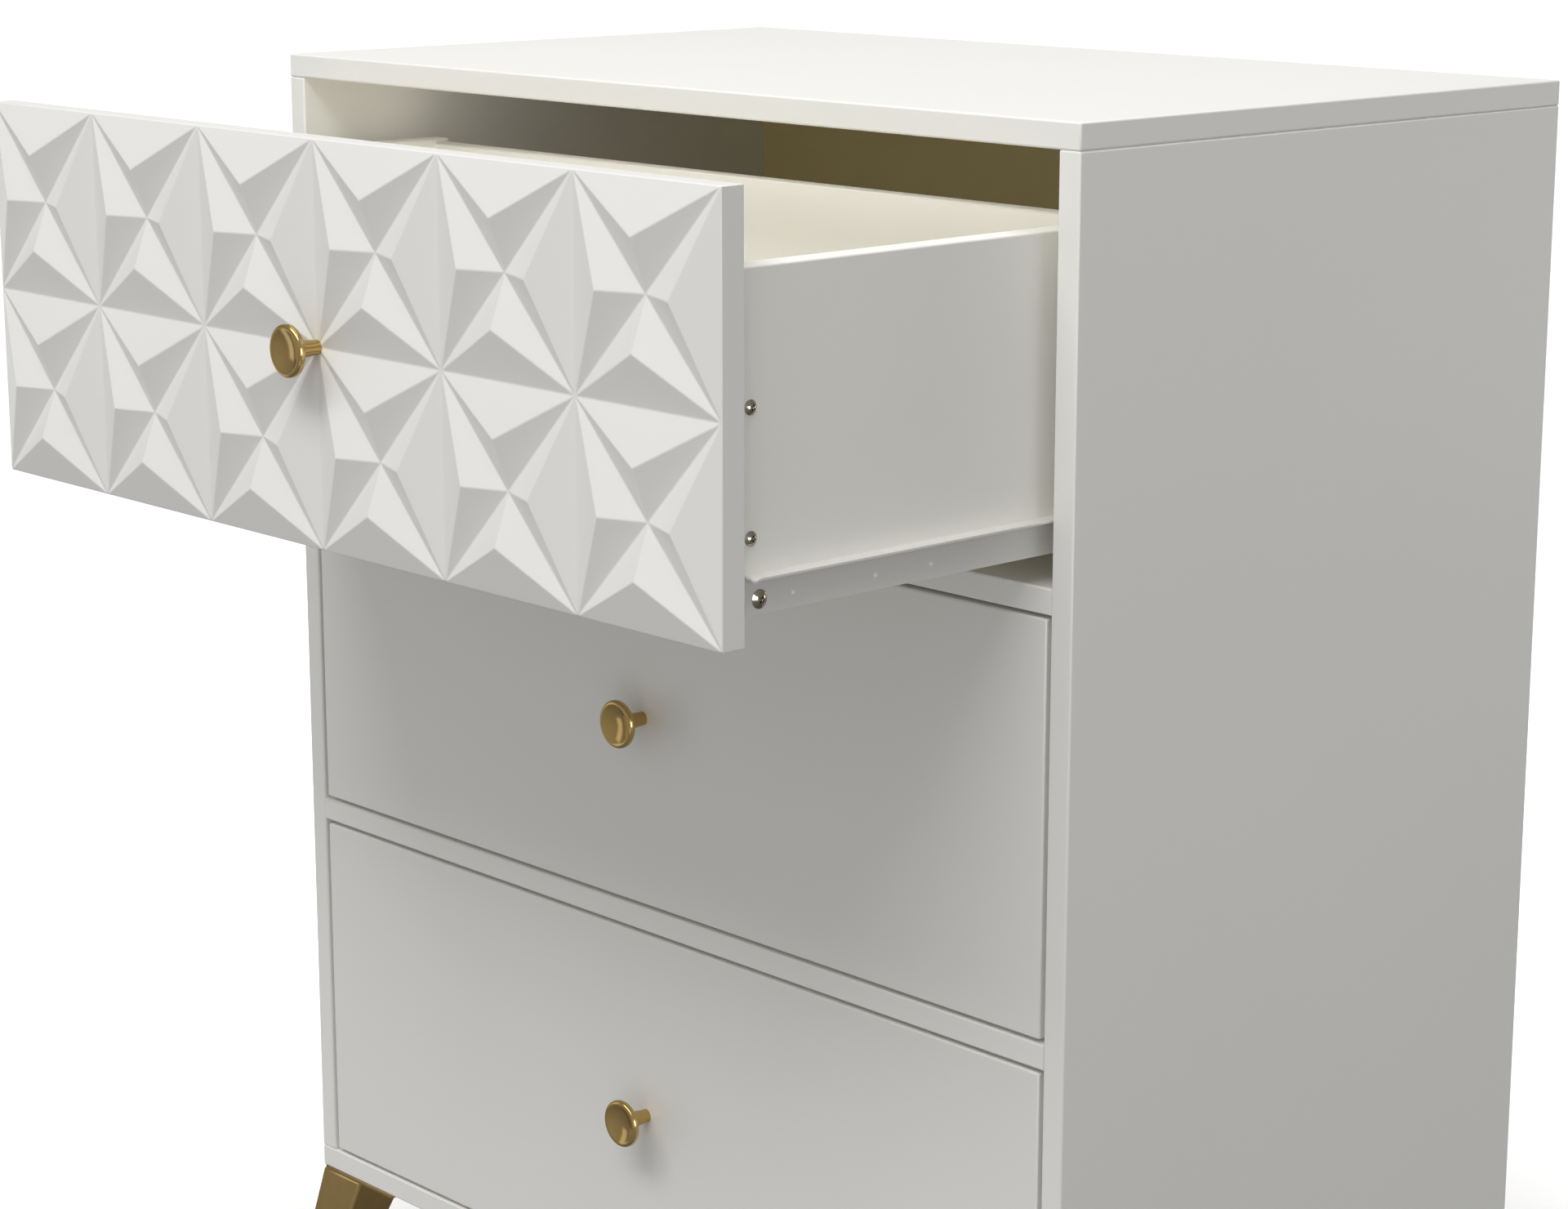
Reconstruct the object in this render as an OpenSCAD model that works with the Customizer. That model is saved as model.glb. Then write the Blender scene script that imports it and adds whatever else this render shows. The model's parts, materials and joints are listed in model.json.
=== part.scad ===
// Chest of three drawers on splayed brass legs, in millimetres.
// +Z is up and the drawer fronts face -Y. The origin is on the floor, under the middle of the
// space that the chest takes up with its upper drawer pulled out.

/* [Carcass] */
// Overall width
body_w = 750; // [600:10:1000]
// Depth from the front edges to the rear edges
body_d = 450; // [410:10:600]
// Thickness of the carcass boards
board_t = 16; // [15:1:22]
// Clear height of the upper drawer opening
upper_opening_h = 249; // [235:1:320]
// Clear height of each of the two lower drawer openings
lower_opening_h = 258.5; // [235:0.5:330]
// Depth of the front rails
rail_d = 80; // [70:5:140]
// Thickness of the hardboard back
back_t = 3; // [2.5:0.5:6]
// Distance from the rear edges to the hardboard back
back_inset = 10; // [6:1:25]
// Depth of the grooves that hold the hardboard
groove_d = 6; // [4:0.5:7]

/* [Legs] */
// Height from the floor to the underside of the carcass
leg_h = 150; // [100:5:220]
// Width of a leg at its top
leg_top_w = 46; // [34:1:54]
// Width of a leg at its foot
leg_foot_w = 24; // [21:1:34]
// How far a foot stands out past the carcass, each way
leg_splay = 26; // [0:1:45]
// Side of a leg's mounting plate
plate_w = 84; // [78:1:110]
// Thickness of a leg's mounting plate
plate_t = 3; // [2:0.5:6]
// Diameter of a floor glide
glide_d = 18; // [14:1:20]
// Height of a floor glide below the foot
glide_h = 3; // [2:0.5:8]

/* [Drawers] */
// Gap at the sides of each drawer front
front_gap = 3.5; // [2:0.5:6]
// Gap above and below each drawer front
front_reveal = 2.5; // [2:0.5:5]
// Thickness of a drawer front
front_t = 16; // [14:1:22]
// How far the upper drawer is pulled out
upper_open = 248; // [0:1:258]
// Depth of the drawer box behind its front
box_d = 337; // [300:1:370]
// Height of the drawer box
box_h = 184; // [160:1:205]
// Height of the drawer box above the lower edge of its front
box_lift = 16; // [10:1:24]
// Thickness of the box's sides and inner front
box_t = 16; // [14:1:20]
// Thickness of the box's back board
box_back_t = 12; // [10:1:18]
// How far the back board ends below the box's sides
back_drop = 2.5; // [0:0.5:30]
// Thickness of the drawer bottom
bottom_t = 3; // [2.5:0.5:6]
// Height of the drawer bottom above the box's lower edge
bottom_lift = 10; // [8:1:20]

/* [Faceted front] */
// Cells across the upper drawer front
relief_cols = 6; // [4:2:10]
// Cells up the upper drawer front
relief_rows = 2; // [2:2:4]
// Height of the peaks above the valleys
relief_h = 11; // [3:0.5:18]

/* [Slides] */
// Gap between the carcass and the side of the drawer box
slide_gap = 12.5; // [12:0.1:15]
// Thickness of the slides' sheet steel
slide_metal = 1.2; // [0.8:0.1:1.4]
// Length of a slide member
slide_len = 333; // [296:1:336]
// Height of the drawer member's flange above the box's lower edge
flange_lift = 19.4; // [18:0.1:26]
// Width of the drawer member's flange
flange_w = 10.2; // [9:0.1:10.5]
// Diameter of the rollers
roller_d = 15; // [12:0.5:16]
// Diameter of the roller pins
pin_d = 4; // [3:0.5:5]
// Height of the turned-up tip of the drawer member's flange
kick_h = 2.2; // [0:0.1:3]

/* [Knobs] */
// Diameter of a knob's head
knob_d = 32; // [22:1:44]
// How far a knob stands out from the front
knob_len = 24; // [22:1:40]
// Diameter of the stem where it meets the front
knob_stem_d = 9; // [7:0.5:12]
// Diameter of the stem where it meets the head
knob_neck_d = 13.5; // [10:0.5:16]
// Thickness of the head's rim
knob_rim = 5; // [3:0.5:7]
// Depth of the dished face
knob_dish = 3.5; // [0.5:0.5:6]

/* [Fasteners] */
// Diameter of the wood screws and of the knob screws
screw_d = 4; // [3:0.5:5]
// Diameter of a wood screw's head
screw_head_d = 8.4; // [7:0.2:10]
// Diameter of the pan head that holds a drawer slide
slide_head_d = 10.6; // [8:0.2:11]
// Diameter of the cam fittings
cam_d = 15; // [12:1:18]
// Diameter of the cam bolts and of the carcass screws
bolt_d = 7; // [6:0.5:8]
// Diameter of the dowels
dowel_d = 8; // [6:1:10]
// Length of the dowels
dowel_len = 30; // [24:1:40]

/* [Hidden] */
$fn = 48;

// Clearances
hole_play = 0.1;
run_play = 0.05;
roll_play = 0.2;
groove_play = 0.2;
end_play = 0.5;
track_gap = 1;
channel_play = 0.8;
pin_play = 0.15;

// Heights of the boards, from the floor up
carcass_floor = leg_h + board_t;
lower_rail_z = carcass_floor + lower_opening_h;
middle_floor = lower_rail_z + board_t;
upper_rail_z = middle_floor + lower_opening_h;
upper_floor = upper_rail_z + board_t;
top_z = upper_floor + upper_opening_h;

// Widths and depths of the carcass
inner_w = body_w - 2 * board_t;
side_x = inner_w / 2;
front_y = (upper_open + knob_len - body_d - leg_splay) / 2;
middle_y = front_y + body_d / 2;
rear_y = front_y + body_d;
back_y = rear_y - back_inset - back_t;

// Joints of the carcass: cam fittings and dowels at the top and the rails, screws at the bottom
cam_depth = 0.78 * board_t;
cam_edge = 26;
bolt_in = 0.69 * board_t;
dowel_in = 0.72 * board_t;
cam_shares = [0.6, 0.86];
dowel_shares = [0.1, 0.45];
screw_shares = [0.29, 0.71];
cam_ys = [for (share = cam_shares) front_y + share * body_d];
dowel_ys = [for (share = dowel_shares) front_y + share * body_d];
screw_ys = [for (share = screw_shares) front_y + share * body_d];
bottom_screw_len = board_t + front_reveal + box_lift + 4;
bottom_head_d = bolt_d + 3;
bottom_head_h = 4;
rail_cam_y = front_y + 0.68 * rail_d;
rail_dowel_y = front_y + 0.3 * rail_d;
seam_x = side_x + board_t / 2;

// Legs: the screws stand in the three corners of the plate that the leg leaves free
leg_edge = body_w / 2;
plate_screw_edge = 12;
leg_screw_in = board_t - groove_d - 1;
glide_pin_d = 8;
glide_pin_h = 12;
glide_bevel = 1;

// Drawers: level 0 is the lower, 1 the middle and 2 the upper one
LEVELS = [0, 1, 2];
HANDS = [-1, 1];
front_w = inner_w - 2 * front_gap;
box_x = side_x - slide_gap;
box_in_x = box_x - box_t;
corner_screw_ys = [0.75 * box_t, box_d - box_back_t / 2];
corner_screw_zs = [40, 110];
corner_screw_len = box_t + 24;
front_screw_x = box_in_x - 70;
front_screw_zs = [30, box_h - 34];
front_screw_in = 0.6 * front_t;
head_h = 0.28 * screw_head_d;
knob_grip = 9;

// Slides, measured along the slide from its front end and up from the box's lower edge
slide_set = 1;
web_x = box_x + slide_metal;
channel_w = slide_gap - slide_metal - channel_play;
foot_w = 0.8 * box_t;
roller_room = 4.1;
roller_w = slide_gap - 2 * slide_metal - roller_room;
cabinet_roller_room = 0.8;
drawer_roller_room = 0.3;
roller_head_d = 2 * pin_d - 1;
roller_head_t = 1;
cabinet_roller_z = flange_lift - roll_play - roller_d / 2;
track_top = flange_lift - track_gap;
drawer_roller_z = track_top - slide_metal - roll_play - roller_d / 2;
track_bottom = drawer_roller_z - roller_d / 2 - roll_play - slide_metal;
kick_len = 16;
kick_pitch = 12;
kick_steps = 24;
cabinet_roller_s = kick_len + 3;
drawer_roller_s = slide_len - roller_d / 2 - 1.5;
track_start = cabinet_roller_s + roller_d / 2 + 2;
slide_head_h = 2.2;
slide_screw_z = 7;
slide_screw_ss = [16, slide_len - 60];
slide_screw_in = box_t - groove_d - 1;
web_dot_d = 2.6;
web_dot_h = 0.6;
web_dot_ss = [40.5, 102, 145];
cabinet_screw_ss = [track_start + 16, 0.48 * slide_len, slide_len - 32];
cabinet_screw_z = (track_top + track_bottom) / 2;
cabinet_head_d = 7;
cabinet_head_h = 1.6;
cabinet_screw_in = 0.75 * board_t;

// Heights and places that depend on the drawer
function opening_z(level) = [carcass_floor, middle_floor, upper_floor][level];
function opening_h(level) = level == 2 ? upper_opening_h : lower_opening_h;
function front_z(level) = opening_z(level) + front_reveal;
function front_h(level) = opening_h(level) - 2 * front_reveal;
function knob_z(level) = front_z(level) + front_h(level) / 2;
function box_z(level) = front_z(level) + box_lift;
function pull_y(level) = front_y - (level == 2 ? upper_open : 0);
function box_y(level) = pull_y(level) + front_t;
function drawer_slide_y(level) = box_y(level) + slide_set;
cabinet_slide_y = front_y + front_t + slide_set;

// The flange's tip turns up and then dips before it runs level
function kick(s) = s < kick_len ? kick_h * cos(360 * s / kick_pitch) * pow(1 - s / kick_len, 2) : 0;

// Rods along the three axes, from a point
module rod_x(at, d, len) {
    translate(at) rotate([0, 90, 0]) cylinder(d = d, h = len);
}

module rod_y(at, d, len) {
    translate(at) rotate([-90, 0, 0]) cylinder(d = d, h = len);
}

module rod_z(at, d, len) {
    translate(at) cylinder(d = d, h = len);
}

// What is drawn for the right-hand side, on the side asked for
module on_side(hand) {
    mirror([hand < 0 ? 1 : 0, 0, 0]) children();
}

module on_both_sides() {
    for (hand = HANDS) on_side(hand) children();
}

// What is drawn at the front, turned to the rear
module at_rear(rear) {
    translate([0, middle_y, 0]) mirror([0, rear ? 1 : 0, 0]) translate([0, -middle_y, 0]) children();
}

module at_four_corners() {
    for (rear = [false, true]) at_rear(rear) on_both_sides() children();
}

// A flat strip of the given outline in X and Z, running along Y
module along_y(y, len) {
    translate([0, y + len, 0]) rotate([90, 0, 0]) linear_extrude(len) children();
}

// Screw with a domed head, pointing down from z = 0
module pan_screw(head_d, head_h, len) {
    dome_r = (head_d * head_d / 4 + head_h * head_h) / (2 * head_h);
    union() {
        intersection() {
            translate([0, 0, head_h - dome_r]) sphere(dome_r);
            cylinder(d = head_d, h = head_h);
        }
        translate([0, 0, -len]) cylinder(d = screw_d, h = len + head_h / 2);
    }
}

// Cam disc with its face at z = 0 and its bore towards +Y, and the bolt that it draws in
module cam_fitting(seam, bolt_depth, axis_depth) {
    difference() {
        translate([0, 0, -cam_depth]) cylinder(d = cam_d, h = cam_depth);
        rod_y([0, -bolt_d / 2, -axis_depth], bolt_d + 2 * hole_play, cam_d);
    }
    rod_y([0, -bolt_d / 2 + end_play, -axis_depth], bolt_d, seam + bolt_depth + bolt_d / 2 - end_play);
}

// The hollow that a cam fitting needs in the board that holds its disc
module cam_pocket(seam, axis_depth) {
    translate([0, 0, -cam_depth]) cylinder(d = cam_d + 2 * hole_play, h = cam_depth + 1);
    rod_y([0, 0, -axis_depth], bolt_d + 2 * hole_play, seam + 1);
}

// Places of the cam fittings, drawn for the right-hand side
module at_top_cams() {
    for (y = cam_ys) translate([side_x, y, top_z - cam_edge]) rotate([90, 0, -90]) children();
}

module at_rail_cam(rail_z) {
    translate([side_x - cam_edge, rail_cam_y, rail_z]) rotate([180, 0, 90]) children();
}

// Carcass boards
module back_groove(x, z, w, h) {
    translate([x, back_y - groove_play / 2, z]) cube([w, back_t + groove_play, h]);
}

module top_panel() {
    color("white") difference() {
        translate([-body_w / 2, front_y, top_z]) cube([body_w, body_d, board_t]);
        back_groove(-side_x - groove_d, top_z - 1, inner_w + 2 * groove_d, groove_d + 1);
        on_both_sides() for (y = cam_ys)
            rod_z([seam_x, y, top_z - 1], bolt_d + 2 * hole_play, bolt_in + end_play + 1);
        on_both_sides() for (y = dowel_ys)
            rod_z([seam_x, y, top_z - 1], dowel_d + 2 * hole_play, dowel_in + end_play + 1);
    }
}

module bottom_panel() {
    color("white") difference() {
        translate([-body_w / 2, front_y, leg_h]) cube([body_w, body_d, board_t]);
        back_groove(-side_x - groove_d, carcass_floor - groove_d, inner_w + 2 * groove_d, groove_d + 1);
        on_both_sides() for (y = dowel_ys)
            rod_z([seam_x, y, carcass_floor - dowel_in - end_play], dowel_d + 2 * hole_play, board_t);
        on_both_sides() for (y = screw_ys) {
            rod_z([seam_x, y, leg_h - 1], bolt_d + 2 * hole_play, board_t + 2);
            rod_z([seam_x, y, leg_h - 1], bottom_head_d + 2 * hole_play, bottom_head_h + hole_play + 1);
        }
        at_four_corners() at_leg_screws()
            translate([0, 0, -leg_screw_in - plate_t - end_play])
                cylinder(d = screw_d + 2 * hole_play, h = board_t);
    }
}

module side_panel(hand) {
    color("white") on_side(hand) difference() {
        translate([side_x, front_y, carcass_floor]) cube([board_t, body_d, top_z - carcass_floor]);
        back_groove(side_x - 1, carcass_floor - 1, groove_d + 1, top_z - carcass_floor + 2);
        at_top_cams() cam_pocket(cam_edge, board_t / 2);
        for (y = dowel_ys) {
            rod_z([seam_x, y, top_z - dowel_len + dowel_in - end_play], dowel_d + 2 * hole_play, dowel_len);
            rod_z([seam_x, y, carcass_floor - dowel_in + end_play], dowel_d + 2 * hole_play, dowel_len);
        }
        for (y = screw_ys)
            rod_z([seam_x, y, carcass_floor - 1], bolt_d + 2 * hole_play,
                  bottom_screw_len - board_t + end_play + 1);
        for (z = [lower_rail_z, upper_rail_z]) {
            rod_x([side_x - 1, rail_cam_y, z + board_t / 2], bolt_d + 2 * hole_play, bolt_in + end_play + 1);
            rod_x([side_x - 1, rail_dowel_y, z + board_t / 2], dowel_d + 2 * hole_play, dowel_in + end_play + 1);
        }
        for (level = LEVELS) at_cabinet_screws(level)
            translate([0, 0, -cabinet_screw_in - end_play])
                cylinder(d = screw_d + 2 * hole_play, h = board_t);
    }
}

module back_panel() {
    tongue = groove_d - groove_play;
    color("saddlebrown") translate([-side_x - tongue, back_y, carcass_floor - tongue])
        cube([inner_w + 2 * tongue, back_t, top_z - carcass_floor + 2 * tongue]);
}

module rail(z) {
    color("white") difference() {
        translate([-side_x, front_y, z]) cube([inner_w, rail_d, board_t]);
        on_both_sides() {
            at_rail_cam(z) cam_pocket(cam_edge, board_t / 2);
            rod_x([side_x - dowel_len + dowel_in - end_play, rail_dowel_y, z + board_t / 2],
                  dowel_d + 2 * hole_play, dowel_len);
        }
    }
}

// Fittings of the carcass
module carcass_cams() {
    color("silver") on_both_sides() {
        at_top_cams() cam_fitting(cam_edge, bolt_in, board_t / 2);
        for (z = [lower_rail_z, upper_rail_z]) at_rail_cam(z) cam_fitting(cam_edge, bolt_in, board_t / 2);
    }
}

module carcass_dowels() {
    color("burlywood") on_both_sides() {
        for (y = dowel_ys) {
            rod_z([seam_x, y, top_z + dowel_in - dowel_len], dowel_d, dowel_len);
            rod_z([seam_x, y, carcass_floor - dowel_in], dowel_d, dowel_len);
        }
        for (z = [lower_rail_z, upper_rail_z])
            rod_x([side_x + dowel_in - dowel_len, rail_dowel_y, z + board_t / 2], dowel_d, dowel_len);
    }
}

module carcass_screws() {
    color("silver") on_both_sides() for (y = screw_ys) {
        rod_z([seam_x, y, leg_h], bottom_head_d, bottom_head_h);
        rod_z([seam_x, y, leg_h], bolt_d, bottom_screw_len);
    }
}

// Legs
module at_leg_screws() {
    near = plate_screw_edge;
    far = plate_w - plate_screw_edge;
    for (at = [[far, near], [far, far], [near, far]])
        translate([leg_edge - at[0], front_y + at[1], leg_h - plate_t]) rotate([180, 0, 0]) children();
}

// A tapered leg of square section, from its top square to its foot square
module leg_taper() {
    top = leg_h - plate_t / 2;
    xs = [[leg_edge - leg_top_w, leg_edge], [leg_edge + leg_splay - leg_foot_w, leg_edge + leg_splay]];
    ys = [[front_y, front_y + leg_top_w], [front_y - leg_splay, front_y - leg_splay + leg_foot_w]];
    zs = [top, glide_h];
    polyhedron(
        points = [for (end = [0, 1], c = [[0, 0], [1, 0], [1, 1], [0, 1]]) [xs[end][c[0]], ys[end][c[1]], zs[end]]],
        faces = concat(
            [[3, 2, 1, 0], [4, 5, 6, 7]],
            [for (i = [0:3]) let (j = (i + 1) % 4) [i, j, j + 4, i + 4]]
        )
    );
}

module glide_place() {
    translate([leg_edge + leg_splay - leg_foot_w / 2, front_y - leg_splay + leg_foot_w / 2, 0]) children();
}

module leg(hand, rear) {
    color("darkgoldenrod") at_rear(rear) on_side(hand) difference() {
        union() {
            leg_taper();
            translate([leg_edge - plate_w, front_y, leg_h - plate_t]) cube([plate_w, plate_w, plate_t]);
        }
        at_leg_screws() translate([0, 0, -plate_t - 1])
            cylinder(d = screw_d + 2 * hole_play, h = plate_t + 2);
        glide_place() cylinder(d = glide_pin_d + 2 * hole_play, h = glide_h + glide_pin_h + end_play);
    }
}

module leg_screws() {
    color("silver") at_four_corners() at_leg_screws()
        pan_screw(screw_head_d, head_h, leg_screw_in + plate_t);
}

module leg_glides() {
    r = glide_d / 2;
    pin_r = glide_pin_d / 2;
    color("dimgray") at_four_corners() glide_place() rotate_extrude()
        polygon([
            [0, 0], [r - glide_bevel, 0], [r, glide_bevel], [r, glide_h],
            [pin_r, glide_h], [pin_r, glide_h + glide_pin_h], [0, glide_h + glide_pin_h]
        ]);
}

// Slides, drawn for the right-hand side
module at_cabinet_screws(level) {
    for (s = cabinet_screw_ss)
        translate([side_x, cabinet_slide_y + s, box_z(level) + cabinet_screw_z]) rotate([0, -90, 0]) children();
}

module at_slide_screws(level) {
    for (s = slide_screw_ss)
        translate([web_x, drawer_slide_y(level) + s, box_z(level) + slide_screw_z]) rotate([0, 90, 0]) children();
}

// Shouldered pin along +Z from a slide's web, with its head sunk in the roller that it carries
module roller_pin(room) {
    cylinder(d = roller_head_d, h = room - pin_play);
    cylinder(d = pin_d, h = room + roller_w);
    translate([0, 0, room + roller_w - roller_head_t]) cylinder(d = roller_head_d, h = roller_head_t);
}

// Roller along +Z from the web, with a rounded tread and a sunk face for the pin's head
module roller(room) {
    bore_r = pin_d / 2 + run_play;
    sink_r = roller_head_d / 2 + 2 * pin_play;
    sink_t = roller_head_t + pin_play;
    tread = 1;
    r = roller_d / 2;
    translate([0, 0, room]) rotate_extrude()
        polygon([
            [bore_r, 0], [r - tread, 0], [r, tread], [r, roller_w - tread], [r - tread, roller_w],
            [sink_r, roller_w], [sink_r, roller_w - sink_t], [bore_r, roller_w - sink_t]
        ]);
}

module at_cabinet_roller(level) {
    translate([side_x - slide_metal, cabinet_slide_y + cabinet_roller_s, box_z(level) + cabinet_roller_z])
        rotate([0, -90, 0]) children();
}

module at_drawer_roller(level) {
    translate([web_x, drawer_slide_y(level) + drawer_roller_s, box_z(level) + drawer_roller_z])
        rotate([0, 90, 0]) children();
}

// Channel fixed to the carcass: a web with two flanges, open at the front end for the roller
module cabinet_slide(level, hand) {
    z = box_z(level);
    tip = side_x - channel_w;
    skin = side_x - slide_metal;
    low = z + track_bottom;
    high = z + track_top;
    color("whitesmoke") on_side(hand) union() {
        difference() {
            along_y(cabinet_slide_y, slide_len) polygon([
                [side_x, low], [side_x, high], [tip, high], [tip, high - slide_metal], [skin, high - slide_metal],
                [skin, low + slide_metal], [tip, low + slide_metal], [tip, low]
            ]);
            translate([tip - 1, cabinet_slide_y - 1, high - slide_metal - 1])
                cube([skin - tip + 1, track_start + 1, slide_metal + 2]);
            at_cabinet_screws(level) translate([0, 0, -1])
                cylinder(d = screw_d + 2 * hole_play, h = slide_metal + 2);
        }
        at_cabinet_roller(level) roller_pin(cabinet_roller_room);
    }
}

module cabinet_slide_screws() {
    color("silver") on_both_sides() for (level = LEVELS) at_cabinet_screws(level)
        translate([0, 0, slide_metal]) pan_screw(cabinet_head_d, cabinet_head_h, cabinet_screw_in + slide_metal);
}

module cabinet_rollers(level) {
    color("white") on_both_sides() at_cabinet_roller(level) roller(cabinet_roller_room);
}

// Flange of the drawer member, with the turned-up tip, as an outline in Y and Z
module flange_outline() {
    tops = [for (i = [0:kick_steps]) let (s = kick_len * i / kick_steps) [s, kick(s) + slide_metal]];
    under = [for (i = [kick_steps:-1:0]) let (s = kick_len * i / kick_steps) [s, kick(s)]];
    polygon(concat(tops, [[slide_len, slide_metal], [slide_len, 0]], under));
}

// Angle under the drawer's side: a foot, a web and a flange that runs on the cabinet's roller
module drawer_slide(level, hand) {
    y = drawer_slide_y(level);
    z = box_z(level);
    web_top = z + flange_lift + slide_metal / 2;
    color("whitesmoke") on_side(hand) union() {
        difference() {
            along_y(y, slide_len) polygon([
                [box_x - foot_w, z - slide_metal], [web_x, z - slide_metal], [web_x, web_top],
                [box_x, web_top], [box_x, z], [box_x - foot_w, z]
            ]);
            at_slide_screws(level) translate([0, 0, -slide_metal - 1])
                cylinder(d = screw_d + 2 * hole_play, h = slide_metal + 2);
        }
        for (s = web_dot_ss) translate([web_x - slide_metal / 2, y + s, z + slide_screw_z]) rotate([0, 90, 0])
            cylinder(d1 = web_dot_d, d2 = web_dot_d / 2, h = slide_metal / 2 + web_dot_h);
        translate([box_x, y, z + flange_lift]) rotate([90, 0, 90]) linear_extrude(flange_w) flange_outline();
        at_drawer_roller(level) roller_pin(drawer_roller_room);
    }
}

module drawer_rollers(level) {
    color("white") on_both_sides() at_drawer_roller(level) roller(drawer_roller_room);
}

// Drawer fronts
module knob_hole(level) {
    rod_y([0, pull_y(level) - 1, knob_z(level)], screw_d + 2 * hole_play, front_t + 2);
}

module front_pilot_holes(level) {
    for (x = [-front_screw_x, front_screw_x], z = front_screw_zs)
        rod_y([x, box_y(level) - front_screw_in - end_play, box_z(level) + z],
              screw_d + 2 * hole_play, front_t);
}

module flat_front(level) {
    color("white") difference() {
        translate([-front_w / 2, pull_y(level), front_z(level)]) cube([front_w, front_t, front_h(level)]);
        knob_hole(level);
        front_pilot_holes(level);
    }
}

// Slab whose face is a grid of cells. Each cell is cut by its diagonals into four triangles, and a
// three-sided pyramid stands on each of them, so the valleys meet at the corners and the middles.
module faceted_slab(w, h, t, rise, cols, rows) {
    cell_w = w / cols;
    cell_h = h / rows;
    corner_count = (cols + 1) * (rows + 1);
    cell_count = cols * rows;
    corners = [for (j = [0:rows], i = [0:cols]) [i * cell_w - w / 2, 0, h - j * cell_h]];
    middles = [for (j = [0:rows - 1], i = [0:cols - 1]) [(i + 1 / 2) * cell_w - w / 2, 0, h - (j + 1 / 2) * cell_h]];
    peaks = [
        for (j = [0:rows - 1], i = [0:cols - 1], p = [[1 / 2, 1 / 4], [3 / 4, 1 / 2], [1 / 2, 3 / 4], [1 / 4, 1 / 2]])
            [(i + p[0]) * cell_w - w / 2, -rise, h - (j + p[1]) * cell_h]
    ];
    rear = [[-w / 2, t, h], [w / 2, t, h], [w / 2, t, 0], [-w / 2, t, 0]];
    function corner(i, j) = j * (cols + 1) + i;
    function middle(i, j) = corner_count + j * cols + i;
    function peak(i, j, k) = corner_count + cell_count + 4 * (j * cols + i) + k;
    function behind(k) = corner_count + 5 * cell_count + k;
    facets = [
        for (j = [0:rows - 1], i = [0:cols - 1])
            let (ring = [corner(i, j), corner(i + 1, j), corner(i + 1, j + 1), corner(i, j + 1)])
                for (k = [0:3], edge = [0:2])
                    let (base = [ring[k], ring[(k + 1) % 4], middle(i, j)])
                        [base[edge], base[(edge + 1) % 3], peak(i, j, k)]
    ];
    rims = [
        [behind(3), behind(2), behind(1), behind(0)],
        concat([behind(0), behind(1)], [for (i = [cols:-1:0]) corner(i, 0)]),
        concat([behind(2), behind(3)], [for (i = [0:cols]) corner(i, rows)]),
        concat([behind(1), behind(2)], [for (j = [rows:-1:0]) corner(cols, j)]),
        concat([behind(3), behind(0)], [for (j = [0:rows]) corner(0, j)])
    ];
    polyhedron(points = concat(corners, middles, peaks, rear), faces = concat(facets, rims));
}

module faceted_front(level) {
    color("white") difference() {
        translate([0, pull_y(level), front_z(level)])
            faceted_slab(front_w, front_h(level), front_t, relief_h, relief_cols, relief_rows);
        rod_y([0, pull_y(level) - relief_h - 1, knob_z(level)], knob_stem_d + 4 * hole_play, relief_h + 1);
        knob_hole(level);
        front_pilot_holes(level);
    }
}

// Drawer boxes
module bottom_groove(level, x, y, w, d) {
    translate([x, y, box_z(level) + bottom_lift - groove_play / 2]) cube([w, d, bottom_t + groove_play]);
}

module at_corner_screws(level) {
    for (y = corner_screw_ys, z = corner_screw_zs)
        translate([box_x, box_y(level) + y, box_z(level) + z]) rotate([0, 90, 0]) children();
}

module corner_screw_holes(level) {
    on_both_sides() at_corner_screws(level) translate([0, 0, -corner_screw_len - end_play])
        cylinder(d = screw_d + 2 * hole_play, h = corner_screw_len + end_play + 1);
}

module box_side(level, hand) {
    color("ivory") on_side(hand) difference() {
        translate([box_in_x, box_y(level), box_z(level)]) cube([box_t, box_d, box_h]);
        bottom_groove(level, box_in_x - 1, box_y(level) - 1, groove_d + 1, box_d + 2);
        corner_screw_holes(level);
        at_slide_screws(level) translate([0, 0, -slide_screw_in - slide_metal - end_play])
            cylinder(d = screw_d + 2 * hole_play, h = slide_screw_in + slide_metal + end_play);
    }
}

module inner_front(level) {
    color("ivory") difference() {
        translate([-box_in_x, box_y(level), box_z(level)]) cube([2 * box_in_x, box_t, box_h]);
        bottom_groove(level, -box_in_x - 1, box_y(level) + box_t - groove_d, 2 * box_in_x + 2, groove_d + 1);
        corner_screw_holes(level);
        rod_y([0, box_y(level) - 1, knob_z(level)], screw_d + 2 * hole_play, box_t + 2);
        for (x = [-front_screw_x, front_screw_x], z = front_screw_zs)
            rod_y([x, box_y(level) - 1, box_z(level) + z], screw_d + 2 * hole_play, box_t + 2);
    }
}

module box_back(level) {
    y = box_y(level) + box_d - box_back_t;
    color("ivory") difference() {
        translate([-box_in_x, y, box_z(level)]) cube([2 * box_in_x, box_back_t, box_h - back_drop]);
        bottom_groove(level, -box_in_x - 1, y - 1, 2 * box_in_x + 2, groove_d + 1);
        corner_screw_holes(level);
    }
}

module box_bottom(level) {
    tongue = groove_d - groove_play;
    x = box_in_x + tongue;
    y = box_y(level) + box_t - tongue;
    d = box_d - box_t - box_back_t + 2 * tongue;
    color("ivory") translate([-x, y, box_z(level) + bottom_lift]) cube([2 * x, d, bottom_t]);
}

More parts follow.
